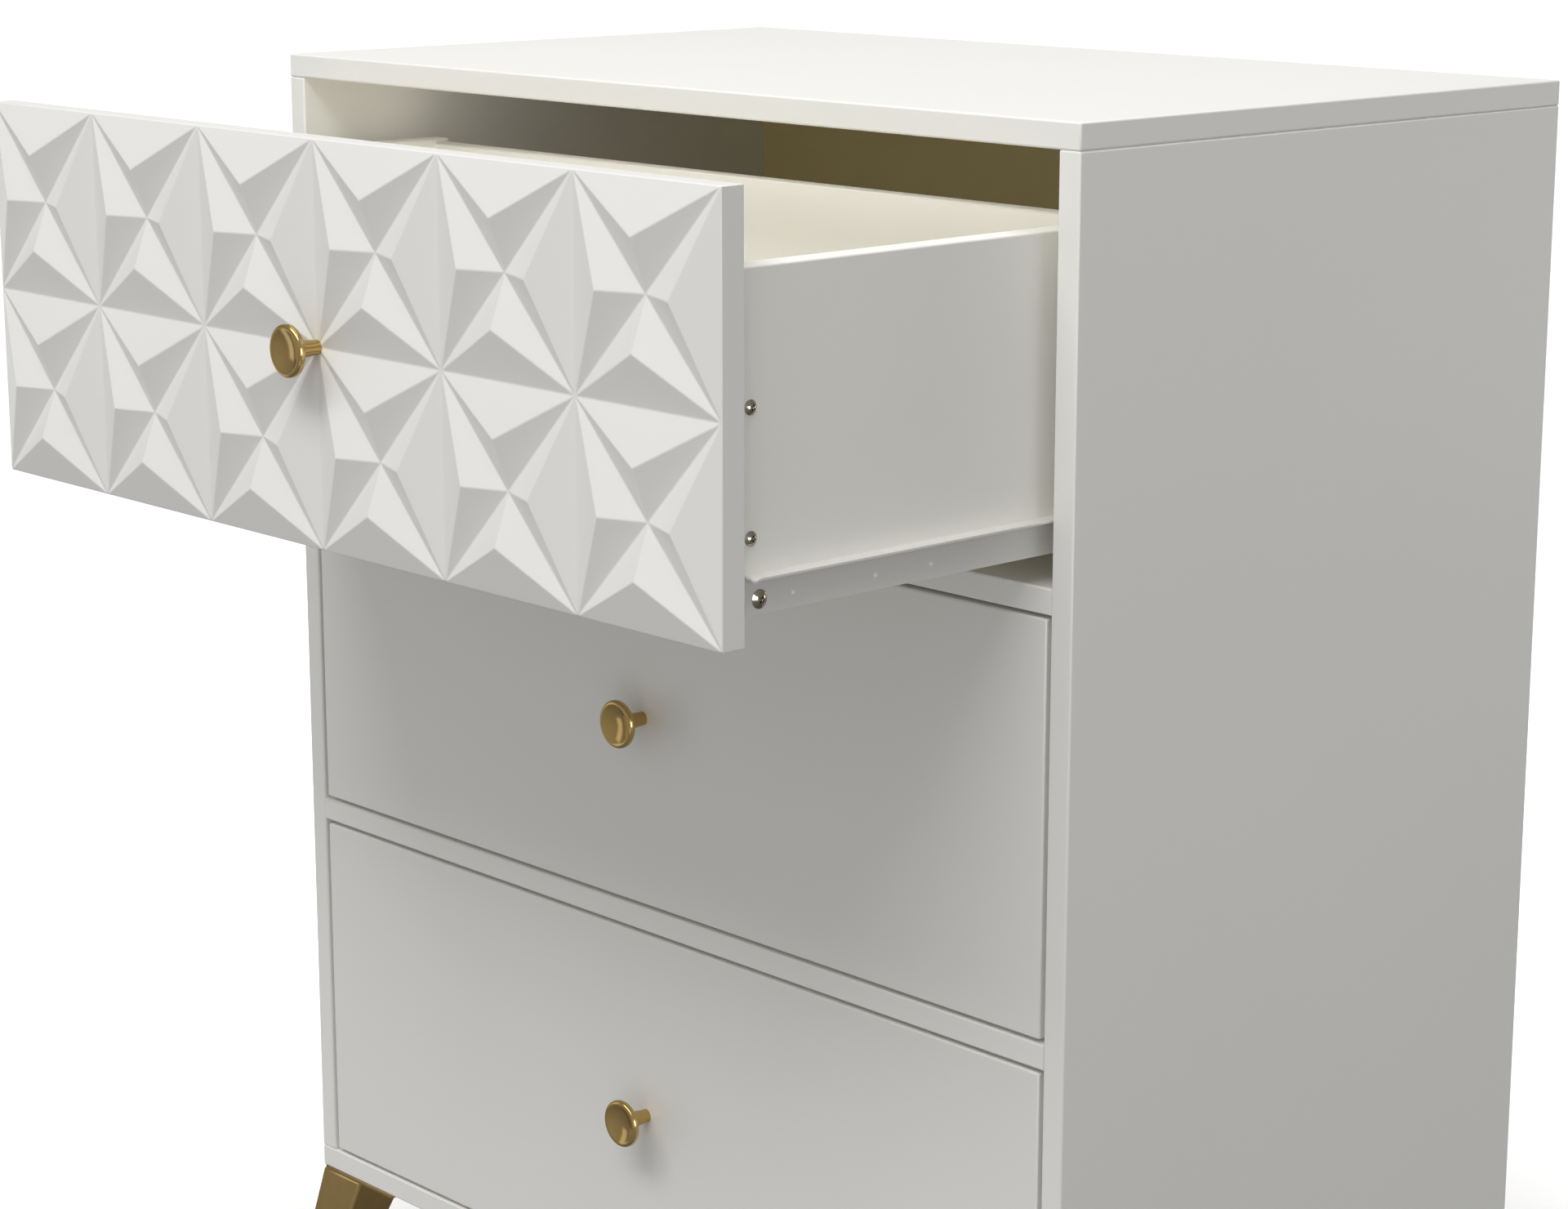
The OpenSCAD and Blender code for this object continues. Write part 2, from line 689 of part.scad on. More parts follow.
// Knob turned about its own axis: a waisted stem, a rounded rim and a dished face
module knob(level) {
    steps = 12;
    stem_r = knob_stem_d / 2;
    neck_r = knob_neck_d / 2;
    head_r = knob_d / 2;
    round = 1.4;
    lip = 0.4;
    hole_r = screw_d / 2 + hole_play;
    hole_len = knob_grip + end_play;
    head_back = knob_len - knob_rim;
    neck_len = 0.8 * head_back;
    dish_r = head_r - round - lip;
    ball_r = (dish_r * dish_r + knob_dish * knob_dish) / (2 * knob_dish);
    stem = [for (i = [0:steps]) let (s = i / steps) [stem_r + (neck_r - stem_r) * s * s, neck_len * s]];
    flare = [
        for (i = [1:steps]) let (a = 90 * i / steps)
            [neck_r + (head_r - round - neck_r) * (1 - cos(a)), neck_len + (head_back - neck_len) * sin(a)]
    ];
    rim = [
        for (c = [[0, head_back + round], [90, knob_len - round]], i = [0:4]) let (a = c[0] + 90 * i / 4)
            [head_r - round + round * sin(a), c[1] - round * cos(a)]
    ];
    dish = [
        for (i = [0:steps]) let (r = dish_r * (1 - i / steps))
            [r, knob_len - knob_dish + ball_r - sqrt(ball_r * ball_r - r * r)]
    ];
    color("goldenrod") translate([0, pull_y(level), knob_z(level)]) rotate([90, 0, 0]) rotate_extrude()
        polygon(concat([[hole_r, 0]], stem, flare, rim, dish, [[0, hole_len], [hole_r, hole_len]]));
}

// All screws of one drawer: box corners, front, knob and slides
module drawer_screws(level) {
    inside_y = box_y(level) + box_t;
    color("silver") {
        on_both_sides() at_corner_screws(level) pan_screw(screw_head_d, head_h, corner_screw_len);
        on_both_sides() at_slide_screws(level) pan_screw(slide_head_d, slide_head_h, slide_screw_in + slide_metal);
        for (x = [-front_screw_x, front_screw_x], z = front_screw_zs)
            translate([x, inside_y, box_z(level) + z]) rotate([-90, 0, 0])
                pan_screw(screw_head_d, head_h, box_t + front_screw_in);
        translate([0, inside_y, knob_z(level)]) rotate([-90, 0, 0])
            pan_screw(screw_head_d, head_h, box_t + front_t + knob_grip);
    }
}

top_panel();
side_panel(-1);  // left_side_panel
side_panel(1);  // right_side_panel
bottom_panel();
back_panel();
rail(upper_rail_z);  // upper_rail
rail(lower_rail_z);  // lower_rail
leg(-1, false);  // front_left_leg
leg(1, false);  // front_right_leg
leg(-1, true);  // rear_left_leg
leg(1, true);  // rear_right_leg
leg_screws();
leg_glides();
carcass_cams();
carcass_dowels();
carcass_screws();
cabinet_slide(0, -1);  // lower_left_cabinet_slide
cabinet_slide(0, 1);  // lower_right_cabinet_slide
cabinet_slide(1, -1);  // middle_left_cabinet_slide
cabinet_slide(1, 1);  // middle_right_cabinet_slide
cabinet_slide(2, -1);  // upper_left_cabinet_slide
cabinet_slide(2, 1);  // upper_right_cabinet_slide
cabinet_slide_screws();
cabinet_rollers(0);  // lower_cabinet_rollers
cabinet_rollers(1);  // middle_cabinet_rollers
cabinet_rollers(2);  // upper_cabinet_rollers
flat_front(0);  // lower_front
inner_front(0);  // lower_inner_front
box_side(0, -1);  // lower_left_side
box_side(0, 1);  // lower_right_side
box_back(0);  // lower_back
box_bottom(0);  // lower_bottom
knob(0);  // lower_knob
drawer_slide(0, -1);  // lower_left_drawer_slide
drawer_slide(0, 1);  // lower_right_drawer_slide
drawer_screws(0);  // lower_drawer_screws
drawer_rollers(0);  // lower_drawer_rollers
flat_front(1);  // middle_front
inner_front(1);  // middle_inner_front
box_side(1, -1);  // middle_left_side
box_side(1, 1);  // middle_right_side
box_back(1);  // middle_back
box_bottom(1);  // middle_bottom
knob(1);  // middle_knob
drawer_slide(1, -1);  // middle_left_drawer_slide
drawer_slide(1, 1);  // middle_right_drawer_slide
drawer_screws(1);  // middle_drawer_screws
drawer_rollers(1);  // middle_drawer_rollers
faceted_front(2);  // upper_front
inner_front(2);  // upper_inner_front
box_side(2, -1);  // upper_left_side
box_side(2, 1);  // upper_right_side
box_back(2);  // upper_back
box_bottom(2);  // upper_bottom
knob(2);  // upper_knob
drawer_slide(2, -1);  // upper_left_drawer_slide
drawer_slide(2, 1);  // upper_right_drawer_slide
drawer_screws(2);  // upper_drawer_screws
drawer_rollers(2);  // upper_drawer_rollers
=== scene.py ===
# Looks of a white chest of three drawers on splayed brass legs, with the upper drawer pulled out.
# Lengths in the tables below are millimetres, unless a table says otherwise.
# The chest's frame is metres: +Z up, fronts facing -Y.
import json
import math

import bmesh
import bpy
from mathutils import Matrix, Vector


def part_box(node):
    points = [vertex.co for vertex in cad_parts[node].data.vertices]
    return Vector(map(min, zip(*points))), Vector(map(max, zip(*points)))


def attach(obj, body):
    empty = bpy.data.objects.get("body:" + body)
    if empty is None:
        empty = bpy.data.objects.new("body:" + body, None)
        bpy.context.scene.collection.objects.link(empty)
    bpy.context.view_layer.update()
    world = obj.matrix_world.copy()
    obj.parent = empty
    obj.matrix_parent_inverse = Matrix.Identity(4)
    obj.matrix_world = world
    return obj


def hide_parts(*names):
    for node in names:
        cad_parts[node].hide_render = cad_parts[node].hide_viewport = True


MM = 0.001

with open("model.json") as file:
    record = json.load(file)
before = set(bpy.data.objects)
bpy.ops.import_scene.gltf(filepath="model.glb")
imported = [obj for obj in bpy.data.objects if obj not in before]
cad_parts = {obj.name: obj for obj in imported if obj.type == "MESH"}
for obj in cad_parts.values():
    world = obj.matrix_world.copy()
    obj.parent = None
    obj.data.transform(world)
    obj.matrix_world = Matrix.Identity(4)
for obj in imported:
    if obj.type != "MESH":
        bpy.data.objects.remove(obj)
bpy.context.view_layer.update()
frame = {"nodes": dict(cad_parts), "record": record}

LEVELS = ("lower", "middle", "upper")
HANDS = ("left", "right")
SIGNS = (-1, 1)
CORNERS = (("front_left", -1, -1), ("front_right", 1, -1), ("rear_left", -1, 1), ("rear_right", 1, 1))
X_AXIS = 0
Z_AXIS = 2

# Rounding of the edges of boards, thin sheets, the relief and the slides
BOARD_EASE = 1.3
SHEET_EASE = 0.3
CREASE_EASE = 0.6
SLIDE_EASE = 0.25

# Edges that are eased: least turn in radians, least length on CAD copies, the same on the drawer slides
EDGE_TURN = 1
EDGE_LEAST = 6
SLIDE_EDGE_LEAST = 20

# Share of an edge's length that has to lie along an axis
ALONG = 0.9

# Points closer than this are merged: in finished meshes, in CAD copies, in the relief
MERGE = 0.001
CAD_MERGE = 0.002
CELL_MERGE = 0.02

# Angles in degrees: faces that count as one, creases that are eased, edges that look sharp
CAD_FLAT = 0.5
CELL_FLAT = 1
CELL_CREASE = 8
CAD_SHARP = 32
KNOB_SHARP = 50
SCREW_SHARP = 35

# Faces of the cams and carcass screws are moved out by this much, so that they show past the boards
FITTING_PROUD = 0.3

# Faceted front: cells across and up, height of the peaks
FACET_COLS = 6
FACET_ROWS = 2
FACET_RISE = 11

# Knob: head, length, stem at the front, stem at the head, rim, its rounding, lip, dish
KNOB_D = 32
KNOB_LEN = 24
KNOB_STEM_D = 9
KNOB_NECK_D = 13.5
KNOB_RIM = 5
KNOB_EDGE = 2.2
KNOB_LIP = 0.4
KNOB_DISH = 3.5

# Share of the knob's length behind the rim at which the flare begins
KNOB_WAIST = 0.8

# Steps around the turned shapes
KNOB_STEPS = 64
SCREW_STEPS = 28
FLOOR_STEPS = 96

# Legs and their plates: widths, thickness, rounding, distance of the screws from the edges
LEG_TOP_W = 46
LEG_FOOT_W = 24
LEG_EASE = 2.2
PLATE_W = 84
PLATE_T = 3
PLATE_CORNER = 4
PLATE_EASE = 0.5
PLATE_SCREW_EDGE = 12

# Dots on the webs of the drawer slides: diameter, height, places along the slide and above its foot,
# depth of the web
DOT_D = 3
DOT_H = 1.1
DOTS_ALONG = (40.5, 102, 145)
DOT_UP = 8.2
WEB_IN = 14

# Screws: diameter and height of the heads, diameter of the shank, height of a head's straight rim
CORNER_HEAD = (8.4, 2.35)
SLIDE_HEAD = (10.6, 2.2)
CABINET_HEAD = (7, 1.6)
SHANK_D = 4
HEAD_RIM = 0.35

# Lengths of the screws under their heads
CORNER_SCREW = 40
SLIDE_SCREW = 10
FRONT_SCREW = 25
KNOB_SCREW = 41
PLATE_SCREW = 12
CABINET_SCREW = 13.2

# Tip of a screw in shank radii. Cross recess: width and length in head diameters, depth in head heights,
# share of its size left at the bottom, and how far above the head the cut begins
TIP = 1.5
CROSS_W = 0.12
CROSS_L = 0.52
CROSS_DEPTH = 0.55
CROSS_TAPER = 0.72
CROSS_ABOVE = 1

# Turn of the first cross of a row, and from each cross to the next, in radians
SPIN_FIRST = 0.35
SPIN_STEP = 1.1

# Corner screws: in from the front and rear end of a box side, up from its foot
CORNER_FRONT_IN = 12
CORNER_REAR_IN = 6
CORNER_UPS = (40, 110)

# Slide screws: sheet of the slides, start of the drawer slide behind the end of the box side,
# places along the drawer slide, up from the foot of the box side, places along the cabinet slide
SLIDE_T = 1.2
SLIDE_START = 1
SLIDE_ALONGS = (16, 273)
SLIDE_UP = 7
CABINET_ALONGS = (44.5, 159.84, 301)

# Front screws: in from the ends of the inner front, up from the foot of the box sides
FRONT_IN = 70
FRONT_UPS = (30, 150)

# Floor and round wall: radius, bend between them, height
WALL_R = 12000
WALL_BEND = 3000
WALL_H = 9000

# Glow of the floor: begins and is full at these distances in metres, full strength
GLOW_FROM = 0.4
GLOW_TO = 1.3
GLOW = 0.75

# Sky: direction of its bright side, strength opposite and there
BRIGHT_SIDE = (0.3, -0.66, 0.69)
SKY_DIM = 0.13
SKY_BRIGHT = 0.495

# Softboxes in metres and watts: place, point that they are turned to, width, depth, power
SOFTBOXES = {
    "key": ((0.4, -2.7, 4.3), (0, 0, 0.6), 4.5, 1.6, 125),
    "top": ((0, 0.6, 4.0), (0, 0.1, 1.0), 3.0, 1.6, 43),
    "strip": ((3.0, -0.3, 1.0), (0, -0.2, 0.7), 0.12, 0.9, 2.0),
    "gleam": ((2.85, -0.95, 0.8), (0, -0.3, 0.6), 1.2, 1.1, 42),
    "left": ((-2.8, 0.9, 0.5), (0, 0, 0.5), 1.6, 0.7, 10),
    "rear": ((0.6, 3.2, 0.5), (0, 0, 0.5), 1.6, 0.7, 16),
    "low_left": ((-0.95, -0.75, 0.45), (-0.3, -0.1, 0.5), 0.4, 0.8, 0.56),
    "low_right": ((0.42, -0.8, 0.3), (0.3, -0.1, 0.6), 0.3, 0.3, 0.22),
    "inside": ((0, -0.06, 0.958), (0, 0.3, 0.9), 0.62, 0.02, 0.105),
}
MIRRORED_ONLY = ("gleam",)

# Camera: place and far limit in metres, turn to the left and down in degrees, lens and sensor
EYE = (1.6772, -1.5337, 1.1489)
FAR = 100
LOOK_YAW = 47.12
LOOK_DOWN = 12.86
LENS = 80.2
SENSOR_W = 36


# Colours and nodes

def tone(code):
    """The linear colour of an sRGB hex value."""
    channels = [int(code[i:i + 2], 16) / 255 for i in (1, 3, 5)]
    return tuple(c / 12.92 if c <= 0.04045 else ((c + 0.055) / 1.055) ** 2.4 for c in channels) + (1,)


WHITE = tone("#FFFFFF")


def add(tree, kind, inputs=None, **settings):
    """Adds one node, with its settings and with values or links for its inputs."""
    made = tree.nodes.new(kind)
    for name, value in settings.items():
        setattr(made, name, value)
    for key, value in (inputs or {}).items():
        socket = made.inputs[key]
        if isinstance(value, bpy.types.NodeSocket):
            tree.links.new(value, socket)
        else:
            socket.default_value = value
    return made


def per_mm(size):
    """Pattern scale that gives features of this many millimetres on Object coordinates in metres."""
    return 1 / (size * MM)


def surface(name, values):
    """A new material with its shader's constant values set, its tree, its shader and its coordinates."""
    made = bpy.data.materials.new(name)
    made.use_nodes = True
    tree = made.node_tree
    shader = tree.nodes["Principled BSDF"]
    for key, value in values.items():
        shader.inputs[key].default_value = value
    place = add(tree, "ShaderNodeTexCoord").outputs["Object"]
    return made, tree, shader, place


def two_tones(tree, shader, share, dark, light):
    """Base colour between two tones, by a share from a pattern."""
    mix = add(tree, "ShaderNodeMix", {"Factor": share, 6: tone(dark), 7: tone(light)}, data_type="RGBA")
    tree.links.new(mix.outputs[2], shader.inputs["Base Color"])


def skin(tree, shader, pattern, rough, depth):
    """Roughness between two limits and bump of a depth in millimetres, both from one pattern."""
    spread = add(tree, "ShaderNodeMapRange", {"Value": pattern, "To Min": rough[0], "To Max": rough[1]})
    tree.links.new(spread.outputs["Result"], shader.inputs["Roughness"])
    bump = add(tree, "ShaderNodeBump", {"Height": pattern, "Distance": depth * MM, "Strength": 1})
    tree.links.new(bump.outputs["Normal"], shader.inputs["Normal"])


def satin_lacquer():
    """Fibreboard sprayed with white lacquer: a clean satin white with a faint orange peel."""
    made, tree, shader, place = surface("satin_white_lacquer", {"IOR": 1.5})
    cloud = add(tree, "ShaderNodeTexNoise", {"Vector": place, "Scale": per_mm(160), "Detail": 2})
    two_tones(tree, shader, cloud.outputs["Fac"], "#EDECE8", "#F0EFEC")
    peel = add(tree, "ShaderNodeTexNoise", {"Vector": place, "Scale": per_mm(2.4), "Detail": 1})
    skin(tree, shader, peel.outputs["Fac"], rough=(0.36, 0.46), depth=0.012)
    return made


def melamine_board():
    """White melamine on board: a fine pearl texture that softens the light.
    The grain of 0.4 mm is drawn at 1.6 mm."""
    made, tree, shader, place = surface("white_melamine_board", {"IOR": 1.5})
    cloud = add(tree, "ShaderNodeTexNoise", {"Vector": place, "Scale": per_mm(220), "Detail": 3})
    two_tones(tree, shader, cloud.outputs["Fac"], "#F1F0EC", "#F4F3EF")
    pearl = add(tree, "ShaderNodeTexNoise", {"Vector": place, "Scale": per_mm(1.6), "Detail": 2})
    skin(tree, shader, pearl.outputs["Fac"], rough=(0.40, 0.54), depth=0.02)
    return made


def drawer_foil():
    """Off-white paper foil on the drawer boards: warmer and duller than the outside."""
    made, tree, shader, place = surface("off_white_drawer_foil", {"IOR": 1.48})
    cloud = add(tree, "ShaderNodeTexNoise", {"Vector": place, "Scale": per_mm(120), "Detail": 3})
    two_tones(tree, shader, cloud.outputs["Fac"], "#F3F1EA", "#F6F5F0")
    grain = add(tree, "ShaderNodeTexNoise", {"Vector": place, "Scale": per_mm(2.0), "Detail": 3})
    skin(tree, shader, grain.outputs["Fac"], rough=(0.46, 0.60), depth=0.02)
    return made


def painted_hardboard():
    """Hardboard under cream paint: the felted fibres still show through as a soft mottle."""
    made, tree, shader, place = surface("cream_painted_hardboard", {"IOR": 1.48})
    felt = add(tree, "ShaderNodeTexNoise", {
        "Vector": place, "Scale": per_mm(5), "Detail": 5, "Distortion": 1.2})
    two_tones(tree, shader, felt.outputs["Fac"], "#E3DFD2", "#EAE6DA")
    skin(tree, shader, felt.outputs["Fac"], rough=(0.5, 0.66), depth=0.04)
    return made


def bare_hardboard():
    """Brown hardboard, painted cream on the face towards the drawers: cloudy felted fibres, no shine."""
    made, tree, shader, place = surface("brown_hardboard_back", {"IOR": 1.45})
    felt = add(tree, "ShaderNodeTexNoise", {
        "Vector": place, "Scale": per_mm(60), "Detail": 9, "Roughness": 0.74, "Distortion": 0.4})
    brown = add(tree, "ShaderNodeMix", {
        "Factor": felt.outputs["Fac"], 6: tone("#735D43"), 7: tone("#A68E68")}, data_type="RGBA")
    normal = add(tree, "ShaderNodeTexCoord").outputs["Normal"]
    facing = add(tree, "ShaderNodeSeparateXYZ", {"Vector": normal}).outputs["Y"]
    inside = add(tree, "ShaderNodeMath", {0: facing, 1: -0.5}, operation="LESS_THAN").outputs["Value"]
    paint = add(tree, "ShaderNodeMix", {
        "Factor": inside, 6: brown.outputs[2], 7: tone("#F0DFA8")}, data_type="RGBA")
    tree.links.new(paint.outputs[2], shader.inputs["Base Color"])
    skin(tree, shader, felt.outputs["Fac"], rough=(0.6, 0.8), depth=0.08)
    return made


def satin_brass(tree, shader, place, grain):
    """Shared by the brass pieces: slight toning, and a grain that streaks the reflections."""
    toning = add(tree, "ShaderNodeTexNoise", {"Vector": place, "Scale": per_mm(14), "Detail": 4})
    two_tones(tree, shader, toning.outputs["Fac"], "#B6975C", "#C9AC72")
    skin(tree, shader, grain, rough=(0.11, 0.22), depth=0.012)


def brushed_brass():
    """Brass sheet brushed along the leg under clear lacquer: warm, with soft streaks.
    The lines of 0.3 mm are drawn at 1.2 mm."""
    made, tree, shader, place = surface("brushed_satin_brass", {"Metallic": 1})
    drawn = add(tree, "ShaderNodeMapping", {"Vector": place, "Scale": (1, 1, 0.06)})
    lines = add(tree, "ShaderNodeTexNoise", {
        "Vector": drawn.outputs["Vector"], "Scale": per_mm(1.2), "Detail": 3})
    satin_brass(tree, shader, place, lines.outputs["Fac"])
    return made


def turned_brass():
    """Brass turned on a lathe under clear lacquer: warm, with fine rings about the axis."""
    made, tree, shader, place = surface("turned_satin_brass", {"Metallic": 1})
    out = add(tree, "ShaderNodeAttribute", attribute_name="from_axis").outputs["Fac"]
    rings = add(tree, "ShaderNodeTexNoise", {
        "W": out, "Scale": per_mm(0.7), "Detail": 2}, noise_dimensions="1D")
    satin_brass(tree, shader, place, rings.outputs["Fac"])
    return made


def plated_steel(name, dark, light, rough):
    """Plated steel: a cool grey metal with small cloudy changes left by the plating bath."""
    made, tree, shader, place = surface(name, {"Metallic": 1})
    bath = add(tree, "ShaderNodeTexNoise", {"Vector": place, "Scale": per_mm(1.5), "Detail": 4})
    two_tones(tree, shader, bath.outputs["Fac"], dark, light)
    skin(tree, shader, bath.outputs["Fac"], rough=(rough - 0.06, rough + 0.08), depth=0.01)
    return made


def coated_steel(name, dark, light):
    """Sheet steel under white epoxy powder: satin, with the powder's fine ripple."""
    made, tree, shader, place = surface(name, {"IOR": 1.5})
    ripple = add(tree, "ShaderNodeTexNoise", {"Vector": place, "Scale": per_mm(1.4), "Detail": 2})
    two_tones(tree, shader, ripple.outputs["Fac"], dark, light)
    skin(tree, shader, ripple.outputs["Fac"], rough=(0.30, 0.42), depth=0.015)
    return made


def moulded_plastic(name, dark, light, rough, seen_depth):
    """Moulded plastic: even colour with faint flow marks and a dull skin."""
    made, tree, shader, place = surface(name, {"IOR": 1.5, "Subsurface Weight": seen_depth})
    flow = add(tree, "ShaderNodeTexNoise", {
        "Vector": place, "Scale": per_mm(3), "Detail": 3, "Distortion": 0.8})
    two_tones(tree, shader, flow.outputs["Fac"], dark, light)
    skin(tree, shader, flow.outputs["Fac"], rough=(rough - 0.06, rough + 0.06), depth=0.01)
    return made


def bare_beech():
    """Beech dowel rod: pale pinkish wood with short dark flecks along the grain."""
    made, tree, shader, place = surface("bare_beech", {"IOR": 1.45})
    along = add(tree, "ShaderNodeMapping", {"Vector": place, "Scale": (1, 1, 0.15)})
    fleck = add(tree, "ShaderNodeTexNoise", {
        "Vector": along.outputs["Vector"], "Scale": per_mm(0.8), "Detail": 4})
    two_tones(tree, shader, fleck.outputs["Fac"], "#B98E63", "#D8B489")
    skin(tree, shader, fleck.outputs["Fac"], rough=(0.55, 0.7), depth=0.05)
    return made


LACQUER = satin_lacquer()
BOARD = melamine_board()
FOIL = drawer_foil()
DRAWER_BASE = painted_hardboard()
HARDBOARD = bare_hardboard()
KNOB_BRASS = turned_brass()
LEG_BRASS = brushed_brass()
NICKEL = plated_steel("nickel_plated_steel", "#8B8374", "#B3AB9B", rough=0.13)
ZINC = plated_steel("zinc_die_cast", "#8C8C8A", "#B4B4B1", rough=0.42)
COATED = coated_steel("white_powder_coated_steel", "#E4E2DD", "#EBE9E4")
# White of the web dots, brighter than the slides' coat: a painted glint on the real raised heads
DOT_WHITE_AND_GLINT = coated_steel("white_enamel_painted_glint", "#F8F8F6", "#FBFBF9")
NYLON = moulded_plastic("natural_nylon", "#DEDCD4", "#EAE8E1", rough=0.5, seen_depth=0.1)
GLIDE = moulded_plastic("black_polyethylene", "#161616", "#222222", rough=0.6, seen_depth=0)
BEECH = bare_beech()


# Shapes

def add_object(name, data):
    """A new object in the scene."""
    made = bpy.data.objects.new(name, data)
    bpy.context.scene.collection.objects.link(made)
    return made


def body_of_node(node):
    """The body that a CAD node belongs to."""
    for body, nodes in frame["record"]["behaviour"]["bodies"].items():
        if node in nodes:
            return body
    raise ValueError(node)


def piece(name, mesh, material, nodes):
    """A finished piece in place of CAD nodes, moving with the body that they belong to."""
    made = add_object(name, mesh)
    mesh.materials.clear()
    mesh.materials.append(material)
    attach(made, body_of_node(nodes[0]))
    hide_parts(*nodes)


def plain_mesh(name, bm):
    """A mesh of a bmesh, as it is."""
    mesh = bpy.data.meshes.new(name)
    bm.to_mesh(mesh)
    bm.free()
    return mesh


def to_mesh(name, bm):
    """A mesh of a bmesh, with its doubles merged and its faces outwards."""
    bmesh.ops.remove_doubles(bm, verts=bm.verts, dist=MERGE * MM)
    bmesh.ops.recalc_face_normals(bm, faces=bm.faces)
    return plain_mesh(name, bm)


def applied(thing):
    """The plain mesh of an object with its modifiers applied. The object itself is removed."""
    graph = bpy.context.evaluated_depsgraph_get()
    mesh = bpy.data.meshes.new_from_object(thing.evaluated_get(graph), depsgraph=graph)
    bpy.data.objects.remove(thing)
    return mesh


def runs(edge, axis):
    """Whether an edge runs along an axis."""
    return abs((edge.verts[0].co - edge.verts[1].co).normalized()[axis]) > ALONG


def ease(bm, edges, width, segments=3):
    """Rounds edges. Only the new strips are smooth, so flat faces stay flat to the light."""
    for face in bm.faces:
        face.smooth = False
    rounded = bmesh.ops.bevel(bm, geom=edges, offset=width * MM, segments=segments, profile=0.5,
                              affect="EDGES", clamp_overlap=True)
    for face in rounded["faces"]:
        face.smooth = True


def block(bm, low, high):
    """Adds a box between two corners."""
    size = Vector(high) - Vector(low)
    middle = (Vector(high) + Vector(low)) / 2
    spot = Matrix.Translation(middle) @ Matrix.Diagonal((*size, 1))
    return bmesh.ops.create_cube(bm, size=1, matrix=spot)["verts"]


def board(node, material, width, along=None):
    """A board of the size of its CAD node, with its edges eased, or only those along one axis."""
    bm = bmesh.new()
    block(bm, *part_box(node))
    edges = bm.edges[:]
    if along is not None:
        edges = [e for e in edges if runs(e, along)]
    ease(bm, edges, width)
    piece(node + "_board", to_mesh(node, bm), material, [node])


def shares(steps):
    """Even shares from 0 to 1."""
    return [i / steps for i in range(steps + 1)]


def turned(outline, steps, place):
    """A solid turned about +Z from an outline of radius and height, then put in place."""
    bm = bmesh.new()
    angles = [2 * math.pi * i / steps for i in range(steps)]
    rings = []
    for radius, height in outline:
        spots = [(radius * MM * math.cos(a), radius * MM * math.sin(a), height * MM) for a in angles]
        if radius < MERGE:
            spots = [(0, 0, height * MM)]
        rings.append([bm.verts.new(spot) for spot in spots])
    for lower, upper in zip(rings, rings[1:]):
        for i in range(steps):
            j = (i + 1) % steps
            pairs = ((lower, i), (lower, j), (upper, j), (upper, i))
            unique = list(dict.fromkeys(ring[at % len(ring)] for ring, at in pairs))
            if len(unique) > 2:
                bm.faces.new(unique)
    for face in bm.faces:
        face.smooth = True
    bmesh.ops.transform(bm, matrix=place, verts=bm.verts)
    return bm


def sharpen(mesh, degrees):
    """Smooth shading that breaks at edges sharper than an angle."""
    mesh.shade_smooth()
    mesh.set_sharp_from_angle(angle=math.radians(degrees))


def cad_copy(node, material, width=0, least=EDGE_LEAST, proud=0):
    """A merged copy of a CAD node, smooth where round, with its long edges eased or its faces moved out."""
    bm = bmesh.new()
    bm.from_mesh(frame["nodes"][node].data)
    bmesh.ops.remove_doubles(bm, verts=bm.verts, dist=CAD_MERGE * MM)
    bmesh.ops.dissolve_limit(bm, angle_limit=math.radians(CAD_FLAT), verts=bm.verts, edges=bm.edges)
    if width:
        turns = [e for e in bm.edges if e.is_manifold and e.calc_face_angle() > EDGE_TURN]
        ease(bm, [e for e in turns if e.calc_length() > least * MM], width, segments=2)
    bm.normal_update()
    for vert in bm.verts:
        vert.co += vert.normal * proud * MM
    mesh = to_mesh(node, bm)
    mesh.attributes.remove(mesh.attributes["custom_normal"])
    sharpen(mesh, CAD_SHARP)
    piece(node + "_shaped", mesh, material, [node])


# Trees that lay out copies

def geometry_tree(name, sockets):
    """A new tree with inputs of these kinds and one output, and the values that it is given."""
    tree = bpy.data.node_groups.new(name, "GeometryNodeTree")
    for label, kind in sockets.items():
        tree.interface.new_socket(label, in_out="INPUT", socket_type="NodeSocket" + kind)
    tree.interface.new_socket("Geometry", in_out="OUTPUT", socket_type="NodeSocketGeometry")
    return tree, add(tree, "NodeGroupInput").outputs


def strew(tree, points, lent, finish, **more):
    """Ends a tree: a lent object on each point of a mesh, all in one mesh of one material."""
    spots = add(tree, "GeometryNodeMeshToPoints", {"Mesh": points}).outputs["Points"]
    one = add(tree, "GeometryNodeObjectInfo", {"Object": lent, "As Instance": True}).outputs["Geometry"]
    many = add(tree, "GeometryNodeInstanceOnPoints", {"Points": spots, "Instance": one, **more})
    real = add(tree, "GeometryNodeRealizeInstances", {"Geometry": many.outputs["Instances"]})
    done = add(tree, "GeometryNodeSetMaterial", {"Geometry": real.outputs["Geometry"], "Material": finish})
    add(tree, "NodeGroupOutput", {"Geometry": done.outputs["Geometry"]})


def grown(tree, base, values):
    """The plain mesh that a tree makes on a base mesh."""
    holder = add_object("holder", base)
    modifier = holder.modifiers.new("grow", "NODES")
    modifier.node_group = tree
    for item in tree.interface.items_tree:
        if item.in_out == "INPUT" and item.name in values:
            modifier[item.identifier] = values[item.name]
    return applied(holder)


# Carcass

for name in ("top_panel", "left_side_panel", "right_side_panel", "bottom_panel"):
    board(name, BOARD, BOARD_EASE)
for name in ("upper_rail", "lower_rail"):
    board(name, BOARD, BOARD_EASE, X_AXIS)
board("back_panel", HARDBOARD, SHEET_EASE)

# Drawers

